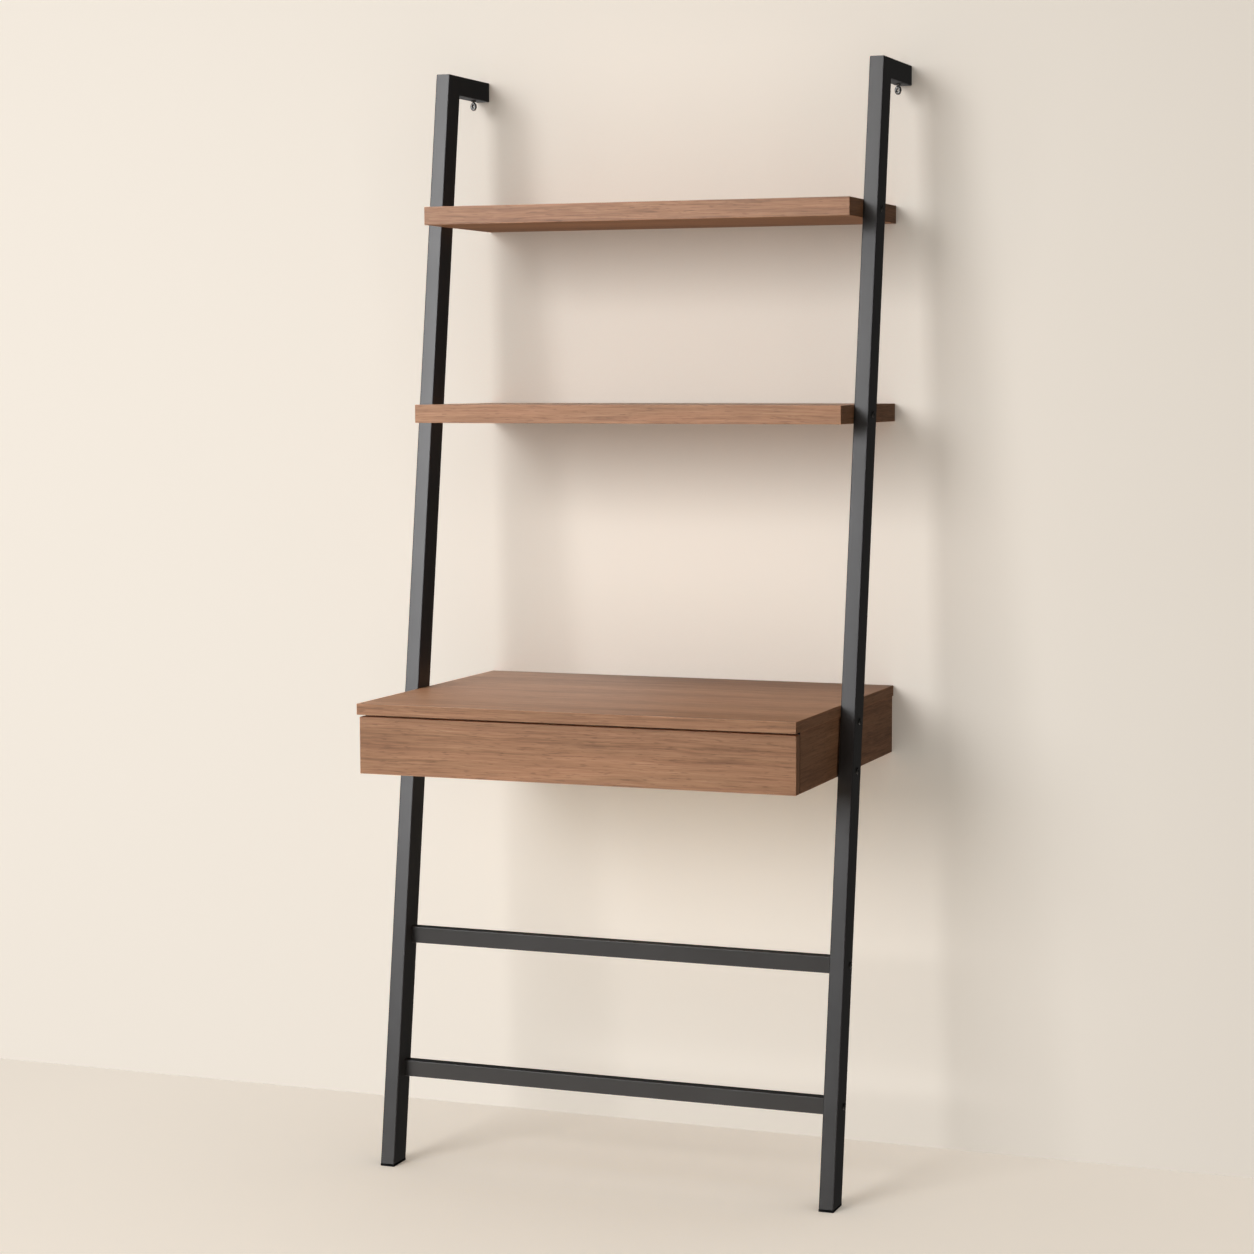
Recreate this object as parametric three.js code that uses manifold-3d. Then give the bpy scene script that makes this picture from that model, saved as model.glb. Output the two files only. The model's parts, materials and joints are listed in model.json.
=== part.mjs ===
// A leaning ladder desk: two leaning steel uprights hooked to a wall carry two shelves,
// a desk with one drawer and two stretchers.
// Millimetres. +X is right, +Y is towards the wall, +Z is up. The origin is on the floor,
// under the middle of the desk's width and depth.

import * as THREE from 'three';
import { mergeVertices } from 'three/addons/utils/BufferGeometryUtils.js';
import Module from 'manifold-3d';

const wasm = await Module();
wasm.setup();

// ---------- driving dimensions ----------

// Whole frame
const innerWidth = 740; // clear width between the uprights
const totalHeight = 1829;
const footReach = 429; // wall to the front of a foot
const leanDegrees = 8.13;
const wallClearance = 1; // wall to the back edges of the shelves and the desk

// Upright tube and the return that hooks it to the wall
const tubeWidth = 25;
const tubeDepth = 46;
const tubeWall = 1.5;
const returnHeight = 33;
const returnClearance = 0.5; // wall to the open end of the return

// Foot cap
const capThickness = 4;
const capPlugHeight = 22;

// Wall bracket and the eye that locks the return to it
const bracketGauge = 3;
const bracketTongue = 58; // wall to the free end of the tongue
const wallScrewHole = 5;
const wallScrewEdge = 8; // top of the bracket plate to the middle of its screw hole
const eyeReach = 40; // wall to the axis of the lock eye
const eyeShank = 4;
const eyeThreadTop = 2; // shank standing above the tongue
const eyeCollar = 9;
const eyeCollarHeight = 2;
const eyeWire = 2.4;
const eyeLoopWidth = 8.4; // centre line of the wire, across
const eyeLoopHeight = 11.6; // centre line of the wire, along
const eyeNeck = 1.5;

// Shelves
const shelfThickness = 30;
const topShelfDrop = 230; // top of the uprights to the upper face of the shelf
const topShelfReach = 277; // wall to the front edge
const middleShelfHeight = 1269.5; // floor to the upper face
const middleShelfReach = 320.5;

// Locating pin that stops a shelf turning on its bolt
const pinDiameter = 6;
const pinLength = 8;
const pinOffset = 13; // behind the bolt

// Stretchers
const stretcherHeight = 28;
const stretcherDepth = 18;
const stretcherWall = 1.5;
const stretcherSetback = 22.5; // behind the front of the uprights
const upperStretcherLevel = 380; // floor to the middle of the tube
const lowerStretcherLevel = 158.5;
const plugLength = 24;

// Desk
const deskHeight = 793; // floor to the upper face
const deskReach = 552;
const deskTopThickness = 18;
const caseHeight = 96; // underside of the top to the lower edge of the case
const caseInset = 2; // the top stands this far past the case on each side
const casePanel = 18;
const caseBackPanel = 12;
const railThickness = 15;
const railDepth = 60;
const deskBoltEdge = 9; // edges of the case side to the middle of its bolts

// Drawer
const frontOverhang = 7; // the top stands this far past the drawer front
const revealGap = 4; // under the top, above the drawer front
const frontGap = 2.5; // between the drawer front and the case
const frontThickness = 18;
const fingerLip = 13; // the drawer front hangs this far below the drawer box
const boxHeadroom = 4; // between the drawer box and the front rail
const boxPanel = 12;
const boxRearGap = 44; // between the drawer box and the back of the case
const boxBottomThickness = 5;
const boxBottomRaise = 6; // lower edge of the box to its bottom panel
const grooveDepth = 6;
const frontScrewSpacing = 420;
const frontScrew = 4;
const frontScrewHead = 8;
const frontScrewHeadHeight = 2.2;
const frontScrewBite = 12; // thread inside the drawer front

// Telescopic slides of the drawer
const slideSetback = 3; // behind the front edge of the case
const slideEndGap = 14.5; // rear end of a slide to the back of the drawer box
const slideHeight = 35;
const slideThickness = 12.7;
const slideGauge = 1.2;
const slideClearance = 0.4; // running clearance between nested members

// Bolts, threaded inserts and washers
const boltDiameter = 6;
const boltHead = 11;
const boltHeadHeight = 2.6;
const boltSocket = 4; // across the corners of the hexagon
const boltSocketDepth = 1.7;
const boltTip = 0.8; // chamfer at the end of the thread
const insertDiameter = 9.5;
const insertLength = 14;
const washerDiameter = 16;

// Clearances
const fitGap = 0.3; // between neighbours that touch in use
const boreGap = 0.15; // radial, round a shank, a sleeve or a pin

// Facets round a full turn
const coarse = 18;
const fine = 24;

// ---------- sizes worked out from those above ----------

const lean = THREE.MathUtils.degToRad(leanDegrees);
const halfInner = innerWidth / 2;
const halfSpan = halfInner - fitGap; // half length of whatever fits between the uprights
const levelDepth = tubeDepth / Math.cos(lean); // depth of the tube on a level cut
const levelWall = tubeWall / Math.cos(lean);
const tubeCentre = halfInner + tubeWidth / 2;
const returnBottom = totalHeight - returnHeight;
const topShelfHeight = totalHeight - topShelfDrop;
const boltLevels = {
	top_shelf: topShelfHeight - shelfThickness / 2,
	middle_shelf: middleShelfHeight - shelfThickness / 2,
};
const deskUnderside = deskHeight - deskTopThickness;
const caseBottom = deskUnderside - caseHeight;
const caseHalf = halfSpan - caseInset;
const caseInnerHalf = caseHalf - casePanel;
const frontFace = -(deskReach - frontOverhang);
const frontBack = frontFace + frontThickness;
const caseFront = frontBack + frontGap;
const railBottom = deskUnderside - fitGap - railThickness;
const boxBottom = caseBottom + fingerLip;
const boxTop = railBottom - boxHeadroom;
const boxHalf = caseInnerHalf - slideThickness - 2 * fitGap;
const boxFront = frontBack + fitGap;
const boxBack = -wallClearance - caseBackPanel - boxRearGap;
const boxFloor = boxBottom + boxBottomRaise;
const slideMiddleLevel = (boxBottom + boxTop) / 2;
const boltBore = boltDiameter / 2 + boreGap;

const materials = {
	coat: () => finish(0x2a2b2d, 0.5, 0.35),
	wood: () => finish(0x8b6047, 0.55, 0),
	board: () => finish(0xb89a78, 0.7, 0),
	steel: () => finish(0xa9abad, 0.35, 0.9),
	blackSteel: () => finish(0x1d1e20, 0.4, 0.7),
	brass: () => finish(0xb28d4a, 0.35, 0.9),
	plastic: () => finish(0x1b1b1c, 0.6, 0),
	nylon: () => finish(0x2f2f30, 0.55, 0),
};

const desk = new THREE.Group();
desk.position.y = deskReach / 2;

// ---------- shared helpers ----------

function finish(color, roughness, metalness) {
	return new THREE.MeshStandardMaterial({ color, roughness, metalness });
}

function addPiece(name, geometry, material) {
	const piece = new THREE.Mesh(geometry, material);
	piece.name = name;
	desk.add(piece);
	return piece;
}

function solidOf(geometry) {
	const bare = geometry.clone();
	bare.deleteAttribute('normal');
	bare.deleteAttribute('uv');
	const merged = mergeVertices(bare, 1e-4);
	return new wasm.Manifold(new wasm.Mesh({
		numProp: 3,
		vertProperties: Float32Array.from(merged.attributes.position.array),
		triVerts: Uint32Array.from(merged.index.array),
	}));
}

function geometryOf(solid) {
	const mesh = solid.getMesh();
	const geometry = new THREE.BufferGeometry();
	geometry.setAttribute('position', new THREE.BufferAttribute(mesh.vertProperties, 3));
	geometry.setIndex(new THREE.BufferAttribute(mesh.triVerts, 1));
	geometry.computeVertexNormals();
	return geometry;
}

// Takes each cutter out of a geometry.
function cut(geometry, cutters) {
	let solid = solidOf(geometry);
	for (const cutter of cutters) solid = solid.subtract(solidOf(cutter));
	return geometryOf(solid);
}

function join(geometries) {
	let solid = solidOf(geometries[0]);
	for (const geometry of geometries.slice(1)) solid = solid.add(solidOf(geometry));
	return geometryOf(solid);
}

// A box between two values on each axis, in either order.
function block(x, y, z) {
	const size = [x, y, z].map(([a, b]) => Math.abs(b - a));
	const middle = [x, y, z].map(([a, b]) => (a + b) / 2);
	return new THREE.BoxGeometry(...size).translate(...middle);
}

function outline(points) {
	return new THREE.Shape(points.map(([a, b]) => new THREE.Vector2(a, b)));
}

// Extrudes an outline of [y, z] points between two x values.
function sideProfile(points, xFrom, xTo) {
	const turn = new THREE.Matrix4().makeBasis(
		new THREE.Vector3(0, 1, 0),
		new THREE.Vector3(0, 0, 1),
		new THREE.Vector3(1, 0, 0),
	);
	const settings = { depth: Math.abs(xTo - xFrom), bevelEnabled: false };
	const geometry = new THREE.ExtrudeGeometry(outline(points), settings);
	return geometry.applyMatrix4(turn).translate(Math.min(xFrom, xTo), 0, 0);
}

// Extrudes an outline of [x, z] points between two y values.
function frontProfile(points, yFrom, yTo) {
	const settings = { depth: yTo - yFrom, bevelEnabled: false };
	const geometry = new THREE.ExtrudeGeometry(outline(points), settings);
	return geometry.rotateX(Math.PI / 2).translate(0, yTo, 0);
}

function rod(radius, length, facets = coarse) {
	return new THREE.CylinderGeometry(radius, radius, length, facets);
}

// A round bar or bore along X.
function rodAlongX(radius, [xFrom, xTo], y, z, facets = coarse) {
	const bar = rod(radius, Math.abs(xTo - xFrom), facets).rotateZ(Math.PI / 2);
	return bar.translate((xFrom + xTo) / 2, y, z);
}

function rodAlongY(radius, x, [yFrom, yTo], z, facets = coarse) {
	return rod(radius, yTo - yFrom, facets).translate(x, (yFrom + yTo) / 2, z);
}

function rodAlongZ(radius, x, y, [zFrom, zTo], facets = coarse) {
	const bar = rod(radius, zTo - zFrom, facets).rotateX(Math.PI / 2);
	return bar.translate(x, y, (zFrom + zTo) / 2);
}

// A ring of rectangular section round X, as a sleeve or a washer.
function ringAlongX(inner, outer, [xFrom, xTo], y, z) {
	const half = Math.abs(xTo - xFrom) / 2;
	const section = [[inner, -half], [outer, -half], [outer, half], [inner, half], [inner, -half]];
	const points = section.map(([radius, along]) => new THREE.Vector2(radius, along));
	const ring = new THREE.LatheGeometry(points, coarse).rotateZ(Math.PI / 2);
	return ring.translate((xFrom + xTo) / 2, y, z);
}

// ---------- the leaning line of the uprights ----------

function uprightFront(level) {
	return -footReach + Math.tan(lean) * level;
}

function uprightMiddle(level) {
	return uprightFront(level) + levelDepth / 2;
}

function stretcherFront(level) {
	return uprightFront(level) + stretcherSetback;
}

// Every bolt passes through an upright here.
function boltPlaces() {
	const stretcherMiddle = (level) => stretcherFront(level) + stretcherDepth / 2;
	const upperDesk = deskUnderside - deskBoltEdge;
	const lowerDesk = caseBottom + deskBoltEdge;
	const shelfEnd = halfSpan - insertLength;
	const caseEnd = caseHalf - insertLength;
	const plugEnd = halfSpan - plugLength + boltTip;
	const onAxis = (name, level, end) => ({ name, y: uprightMiddle(level), z: level, end });
	const onStretcher = (name, level) => (
		{ name, y: stretcherMiddle(level), z: level, end: plugEnd }
	);
	return [
		onAxis('top_shelf', boltLevels.top_shelf, shelfEnd),
		onAxis('middle_shelf', boltLevels.middle_shelf, shelfEnd),
		onAxis('upper_desk', upperDesk, caseEnd),
		onAxis('lower_desk', lowerDesk, caseEnd),
		onStretcher('upper_stretcher', upperStretcherLevel),
		onStretcher('lower_stretcher', lowerStretcherLevel),
	];
}

// ---------- uprights, foot caps, wall brackets and lock eyes ----------

// Side outline of the upright with its return; inset moves each wall inwards.
function uprightOutline(footLevel, wallEnd, inset, levelInset) {
	const top = totalHeight - inset;
	const under = returnBottom + inset;
	return [
		[uprightFront(footLevel) + levelInset, footLevel],
		[uprightFront(footLevel) + levelDepth - levelInset, footLevel],
		[uprightFront(under) + levelDepth - levelInset, under],
		[wallEnd, under],
		[wallEnd, top],
		[uprightFront(top) + levelInset, top],
	];
}

function addUpright(name, side) {
	const inner = side * halfInner;
	const outer = side * (halfInner + tubeWidth);
	const footLevel = capThickness + fitGap;
	const shell = sideProfile(uprightOutline(footLevel, -returnClearance, 0, 0), inner, outer);
	const cavity = sideProfile(
		uprightOutline(0, tubeDepth, tubeWall, levelWall),
		inner + side * tubeWall,
		outer - side * tubeWall,
	);
	const through = [inner - side * tubeWall, outer + side * tubeWall];
	const bores = boltPlaces().map(({ y, z }) => rodAlongX(boltBore, through, y, z));
	const eyeBore = rodAlongZ(
		eyeShank / 2 + boreGap,
		side * tubeCentre,
		-eyeReach,
		[returnBottom - tubeWall, returnBottom + 2 * tubeWall],
	);
	const pins = Object.values(boltLevels).map((level) => rodAlongX(
		pinDiameter / 2,
		[inner + side * tubeWall, inner - side * pinLength],
		uprightMiddle(level) + pinOffset,
		level,
	));
	addPiece(name, join([cut(shell, [cavity, ...bores, eyeBore]), ...pins]), materials.coat());
}

function addFootCap(name, side) {
	const inner = side * halfInner;
	const outer = side * (halfInner + tubeWidth);
	const inset = tubeWall + fitGap;
	const levelInset = levelWall + fitGap;
	const plugTop = capThickness + capPlugHeight;
	const slice = (bottom, top, edge) => [
		[uprightFront(bottom) + edge, bottom],
		[uprightFront(bottom) + levelDepth - edge, bottom],
		[uprightFront(top) + levelDepth - edge, top],
		[uprightFront(top) + edge, top],
	];
	const sole = sideProfile(slice(0, capThickness, 0), inner, outer);
	const plug = sideProfile(
		slice(capThickness / 2, plugTop, levelInset),
		inner + side * inset,
		outer - side * inset,
	);
	addPiece(name, join([sole, plug]), materials.plastic());
}

function addWallBracket(name, side) {
	const halfWidth = tubeWidth / 2 - tubeWall - fitGap;
	const centre = side * tubeCentre;
	const seat = returnBottom + tubeWall + fitGap;
	const top = totalHeight - tubeWall - fitGap;
	const bend = [
		[0, seat],
		[0, top],
		[-bracketGauge, top],
		[-bracketGauge, seat + bracketGauge],
		[-bracketTongue, seat + bracketGauge],
		[-bracketTongue, seat],
	];
	const strip = sideProfile(bend, centre - halfWidth, centre + halfWidth);
	const wallHole = rodAlongY(
		wallScrewHole / 2,
		centre,
		[-2 * bracketGauge, bracketGauge],
		top - wallScrewEdge,
	);
	const threadHole = rodAlongZ(
		eyeShank / 2 + boreGap,
		centre,
		-eyeReach,
		[seat - bracketGauge, seat + 2 * bracketGauge],
	);
	addPiece(name, cut(strip, [wallHole, threadHole]), materials.steel());
}

function addLockEye(name, side) {
	const centre = side * tubeCentre;
	const collarTop = returnBottom - fitGap;
	const collarBottom = collarTop - eyeCollarHeight;
	const loopTop = collarBottom - eyeNeck;
	const loopMiddle = loopTop - eyeWire / 2 - eyeLoopHeight / 2;
	const shankTop = returnBottom + tubeWall + fitGap + bracketGauge + eyeThreadTop;
	const shank = rodAlongZ(eyeShank / 2, centre, -eyeReach, [loopTop - eyeWire / 2, shankTop]);
	const collar = rodAlongZ(eyeCollar / 2, centre, -eyeReach, [collarBottom, collarTop]);
	const loop = new THREE.TorusGeometry(eyeLoopWidth / 2, eyeWire / 2, 8, fine)
		.rotateX(Math.PI / 2)
		.scale(1, 1, eyeLoopHeight / eyeLoopWidth)
		.translate(centre, -eyeReach, loopMiddle);
	addPiece(name, join([loop, shank, collar]), materials.steel());
}

// ---------- stretchers ----------

function addStretcher(name, level) {
	const front = stretcherFront(level);
	const back = front + stretcherDepth;
	const halfHeight = stretcherHeight / 2;
	const tube = block([-halfSpan, halfSpan], [front, back], [level - halfHeight, level + halfHeight]);
	const hollow = block(
		[-innerWidth, innerWidth],
		[front + stretcherWall, back - stretcherWall],
		[level - halfHeight + stretcherWall, level + halfHeight - stretcherWall],
	);
	addPiece(name, cut(tube, [hollow]), materials.coat());
	const edge = stretcherWall + fitGap;
	for (const [sideName, side] of [['left', -1], ['right', 1]]) {
		const plug = block(
			[side * (halfSpan - plugLength), side * halfSpan],
			[front + edge, back - edge],
			[level - halfHeight + edge, level + halfHeight - edge],
		);
		const through = [side * (halfSpan - 2 * plugLength), side * innerWidth];
		const bore = rodAlongX(boltBore, through, (front + back) / 2, level);
		addPiece(`${name}_${sideName}_plug`, cut(plug, [bore]), materials.steel());
	}
}

// ---------- shelves ----------

function addShelf(name, height, reach) {
	const level = height - shelfThickness / 2;
	const board = block(
		[-halfSpan, halfSpan],
		[-reach, -wallClearance],
		[height - shelfThickness, height],
	);
	const sockets = [-1, 1].flatMap((side) => [
		rodAlongX(
			insertDiameter / 2 + boreGap,
			[side * (halfSpan - insertLength - fitGap), side * innerWidth],
			uprightMiddle(level),
			level,
		),
		rodAlongX(
			pinDiameter / 2 + boreGap,
			[side * (halfInner - pinLength - fitGap), side * innerWidth],
			uprightMiddle(level) + pinOffset,
			level,
		),
	]);
	addPiece(name, cut(board, sockets), materials.wood());
}

// ---------- bolts, inserts and washers ----------

function boltGeometry(length) {
	const shank = boltDiameter / 2;
	const head = boltHead / 2;
	const crown = head * 0.6;
	const rim = boltHeadHeight * 0.4;
	const profile = [
		[0, boltHeadHeight],
		[crown, boltHeadHeight],
		[(crown + head) / 2, (boltHeadHeight + rim) / 2 + rim / 3],
		[head, rim],
		[head, 0],
		[shank, 0],
		[shank, boltTip - length],
		[shank - boltTip, -length],
		[0, -length],
	];
	const points = profile.map(([radius, along]) => new THREE.Vector2(radius, along)).reverse();
	const body = new THREE.LatheGeometry(points, fine);
	const socket = rod(boltSocket / 2, 2 * boltSocketDepth, 6).translate(0, boltHeadHeight, 0);
	return cut(body, [socket]);
}

function addBolts() {
	const seat = halfInner + tubeWidth + boreGap;
	for (const { name, y, z, end } of boltPlaces()) {
		const geometry = boltGeometry(seat - end - boltTip);
		for (const [sideName, side] of [['left', -1], ['right', 1]]) {
			const bolt = addPiece(`${name}_${sideName}_bolt`, geometry, materials.blackSteel());
			bolt.position.set(side * seat, y, z);
			bolt.rotation.z = -side * Math.PI / 2;
		}
	}
}

function addInserts() {
	const faces = {
		top_shelf: halfSpan,
		middle_shelf: halfSpan,
		upper_desk: caseHalf,
		lower_desk: caseHalf,
	};
	const inner = boltBore;
	const outer = insertDiameter / 2;
	for (const { name, y, z } of boltPlaces().filter((place) => place.name in faces)) {
		const face = faces[name];
		for (const [sideName, side] of [['left', -1], ['right', 1]]) {
			const sleeve = ringAlongX(inner, outer, [side * face, side * (face - insertLength)], y, z);
			addPiece(`${name}_${sideName}_insert`, sleeve, materials.brass());
		}
	}
}

// Washers fill the space that the inset of the case leaves beside the uprights.
function addCaseWashers() {
	const deskBolts = boltPlaces().filter((place) => place.name.endsWith('desk'));
	for (const { name, y, z } of deskBolts) {
		for (const [sideName, side] of [['left', -1], ['right', 1]]) {
			const span = [side * (caseHalf + boreGap), side * (halfInner - boreGap)];
			const washer = ringAlongX(boltBore, washerDiameter / 2, span, y, z);
			addPiece(`${name}_${sideName}_washer`, washer, materials.nylon());
		}
	}
}

// ---------- desk case ----------

function addDeskTop() {
	const board = block(
		[-halfSpan, halfSpan],
		[-deskReach, -wallClearance],
		[deskUnderside, deskHeight],
	);
	addPiece('desk_top', board, materials.wood());
}

function addCaseSide(name, side) {
	const panel = block(
		[side * caseInnerHalf, side * caseHalf],
		[caseFront, -wallClearance],
		[caseBottom, deskUnderside - fitGap],
	);
	const deskBolts = boltPlaces().filter((place) => place.name.endsWith('desk'));
	const socketSpan = [side * (caseHalf - insertLength - fitGap), side * innerWidth];
	const sockets = deskBolts.map(({ y, z }) => (
		rodAlongX(insertDiameter / 2 + boreGap, socketSpan, y, z)
	));
	addPiece(name, cut(panel, sockets), materials.wood());
}

function addCaseBack() {
	const halfLength = caseInnerHalf - fitGap;
	const panel = block(
		[-halfLength, halfLength],
		[-wallClearance - caseBackPanel, -wallClearance],
		[caseBottom, deskUnderside - fitGap],
	);
	addPiece('desk_back', panel, materials.wood());
}

function addFrontRail() {
	const halfLength = caseInnerHalf - fitGap;
	const rail = block(
		[-halfLength, halfLength],
		[caseFront, caseFront + railDepth],
		[railBottom, railBottom + railThickness],
	);
	addPiece('desk_front_rail', rail, materials.wood());
}

// ---------- drawer ----------

const frontScrewLevel = (boxFloor + boxTop) / 2;
const frontScrewPlaces = [['left', -frontScrewSpacing / 2], ['right', frontScrewSpacing / 2]];

function addDrawerFront() {
	const panel = block(
		[-caseHalf, caseHalf],
		[frontFace, frontBack],
		[caseBottom, deskUnderside - revealGap],
	);
	const pilots = frontScrewPlaces.map(([, x]) => rodAlongY(
		frontScrew / 2 + boreGap,
		x,
		[frontBack - frontScrewBite - fitGap, frontBack + frontThickness],
		frontScrewLevel,
	));
	addPiece('drawer_front', cut(panel, pilots), materials.wood());
}

// The groove that holds the bottom panel, along the inside of a box panel.
function bottomGroove(x, y) {
	return block(x, y, [boxFloor - boreGap, boxFloor + boxBottomThickness + boreGap]);
}

function addDrawerSubfront() {
	const back = boxFront + boxPanel;
	const panel = block([-boxHalf, boxHalf], [boxFront, back], [boxBottom, boxTop]);
	const grooveHalf = boxHalf - boxPanel + grooveDepth;
	const groove = bottomGroove([-grooveHalf, grooveHalf], [back - grooveDepth, back + boxPanel]);
	const holes = frontScrewPlaces.map(([, x]) => rodAlongY(
		frontScrew / 2 + boreGap,
		x,
		[boxFront - boxPanel, back + boxPanel],
		frontScrewLevel,
	));
	addPiece('drawer_subfront', cut(panel, [groove, ...holes]), materials.board());
}

function addDrawerSide(name, side) {
	const inner = side * (boxHalf - boxPanel);
	const panel = block(
		[inner, side * boxHalf],
		[boxFront + boxPanel + fitGap, boxBack],
		[boxBottom, boxTop],
	);
	const groove = bottomGroove([inner - side * boxPanel, inner + side * grooveDepth], [boxFront, 0]);
	addPiece(name, cut(panel, [groove]), materials.board());
}

function addDrawerBack() {
	const halfLength = boxHalf - boxPanel - fitGap;
	const front = boxBack - boxPanel;
	const panel = block([-halfLength, halfLength], [front, boxBack], [boxBottom, boxTop]);
	const groove = bottomGroove([-boxHalf, boxHalf], [front - boxPanel, front + grooveDepth]);
	addPiece('drawer_back', cut(panel, [groove]), materials.board());
}

function addDrawerBottom() {
	const reachIntoGroove = grooveDepth - fitGap;
	const halfLength = boxHalf - boxPanel + reachIntoGroove;
	const panel = block(
		[-halfLength, halfLength],
		[boxFront + boxPanel - reachIntoGroove, boxBack - boxPanel + reachIntoGroove],
		[boxFloor, boxFloor + boxBottomThickness],
	);
	addPiece('drawer_bottom', panel, materials.board());
}

function addFrontScrews() {
	const head = frontScrewHead / 2;
	const shank = frontScrew / 2;
	const length = boxPanel + boreGap + fitGap + frontScrewBite;
	const profile = [
		[0, -length],
		[shank * 0.3, -length],
		[shank, shank - length],
		[shank, 0],
		[head, 0],
		[head * 0.85, frontScrewHeadHeight * 0.7],
		[head * 0.5, frontScrewHeadHeight],
		[0, frontScrewHeadHeight],
	];
	const points = profile.map(([radius, along]) => new THREE.Vector2(radius, along));
	const geometry = new THREE.LatheGeometry(points, coarse);
	for (const [sideName, x] of frontScrewPlaces) {
		const screw = addPiece(`drawer_front_${sideName}_screw`, geometry, materials.steel());
		screw.position.set(x, boxFront + boxPanel + boreGap, frontScrewLevel);
	}
}

// ---------- telescopic slides ----------

// Channel outline: the web stands at webAt, and the flanges run from there to tipAt.
function channelOutline(webAt, tipAt, halfHeight) {
	const inward = Math.sign(tipAt - webAt) * slideGauge;
	const clear = halfHeight - slideGauge;
	return [
		[webAt, -halfHeight],
		[tipAt, -halfHeight],
		[tipAt, -clear],
		[webAt + inward, -clear],
		[webAt + inward, clear],
		[tipAt, clear],
		[tipAt, halfHeight],
		[webAt, halfHeight],
	];
}

function addSlide(sideName, side) {
	const yFront = caseFront + slideSetback;
	const yBack = boxBack - slideEndGap;
	const step = slideGauge + slideClearance;
	const half = slideHeight / 2;
	const members = [
		['case_member', 0, slideThickness - 2 * step, half],
		['middle_member', step, slideThickness - step, half - step],
		['drawer_member', slideThickness, 2 * step, half - 2 * step],
	];
	for (const [member, webAt, tipAt, halfHeight] of members) {
		const points = channelOutline(webAt, tipAt, halfHeight).map(([across, up]) => (
			[side * (caseInnerHalf - fitGap - across), slideMiddleLevel + up]
		));
		const channel = frontProfile(points, yFront, yBack);
		addPiece(`${sideName}_slide_${member}`, channel, materials.steel());
	}
}

// ---------- assembly ----------

for (const [sideName, side] of [['left', -1], ['right', 1]]) {
	addUpright(`${sideName}_upright`, side);
	addFootCap(`${sideName}_foot_cap`, side);
	addWallBracket(`${sideName}_wall_bracket`, side);
	addLockEye(`${sideName}_lock_eye`, side);
	addCaseSide(`desk_${sideName}_side`, side);
	addDrawerSide(`drawer_${sideName}_side`, side);
	addSlide(sideName, side);
}
addStretcher('upper_stretcher', upperStretcherLevel);
addStretcher('lower_stretcher', lowerStretcherLevel);
addShelf('top_shelf', topShelfHeight, topShelfReach);
addShelf('middle_shelf', middleShelfHeight, middleShelfReach);
addDeskTop();
addCaseBack();
addFrontRail();
addDrawerFront();
addDrawerSubfront();
addDrawerBack();
addDrawerBottom();
addFrontScrews();
addBolts();
addInserts();
addCaseWashers();

export default desk;
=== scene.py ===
import json
from math import cos, pi, radians, sin, tan

import bmesh
import bpy
from mathutils import Matrix, Vector


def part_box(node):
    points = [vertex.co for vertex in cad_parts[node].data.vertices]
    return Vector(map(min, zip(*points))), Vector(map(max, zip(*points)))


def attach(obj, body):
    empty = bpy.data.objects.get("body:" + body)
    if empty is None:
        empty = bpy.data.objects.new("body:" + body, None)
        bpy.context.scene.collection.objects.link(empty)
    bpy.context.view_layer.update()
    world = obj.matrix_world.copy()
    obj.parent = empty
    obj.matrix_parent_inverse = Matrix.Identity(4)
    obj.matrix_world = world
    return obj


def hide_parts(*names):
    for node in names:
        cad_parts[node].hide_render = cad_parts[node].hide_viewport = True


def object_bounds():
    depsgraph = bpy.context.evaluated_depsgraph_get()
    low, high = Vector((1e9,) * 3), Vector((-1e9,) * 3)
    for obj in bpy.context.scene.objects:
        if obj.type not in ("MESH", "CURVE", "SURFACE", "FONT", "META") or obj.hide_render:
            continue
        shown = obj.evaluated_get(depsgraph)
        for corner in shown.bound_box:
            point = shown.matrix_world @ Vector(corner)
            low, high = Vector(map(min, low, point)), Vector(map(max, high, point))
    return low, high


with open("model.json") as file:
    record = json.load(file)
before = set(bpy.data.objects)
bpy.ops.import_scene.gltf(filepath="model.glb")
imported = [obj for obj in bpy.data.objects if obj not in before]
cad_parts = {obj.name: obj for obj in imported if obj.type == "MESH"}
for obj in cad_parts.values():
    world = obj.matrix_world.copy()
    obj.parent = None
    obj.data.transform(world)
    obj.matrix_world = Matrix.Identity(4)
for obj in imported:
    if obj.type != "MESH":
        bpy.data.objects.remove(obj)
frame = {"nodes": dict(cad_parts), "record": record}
cad_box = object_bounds()

# The looks of a leaning ladder desk: walnut boards, powder-coated tube, drawer and fasteners.
# Metres. +X is right, +Y is towards the wall, +Z is up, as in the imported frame.

MM = 0.001

# ---------- driving values ----------

BOARD_EASE = 0.7 * MM  # rounding of the arrises of the boards
PLASTIC_EASE = 0.8 * MM
SHEET_EASE = 0.35 * MM  # rounding of the edges of bent steel
EASED_ANGLE = radians(40)  # sharper edges of the CAD nodes are rounded
CREASE_ANGLE = radians(32)  # sharper edges of the finer pieces stay creased
WELD_GAP = 0.005 * MM  # vertices of a CAD node that are nearer than this are one
MERGE_GAP = 0.001 * MM  # the same in the finer pieces
ROUND_SIDES = 48  # facets round a bolt, a collar or a front screw
SCREW_SIDES = 32
PIN_SIDES = 24
EYE_STEPS = 36  # round the loop of a lock eye

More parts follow.
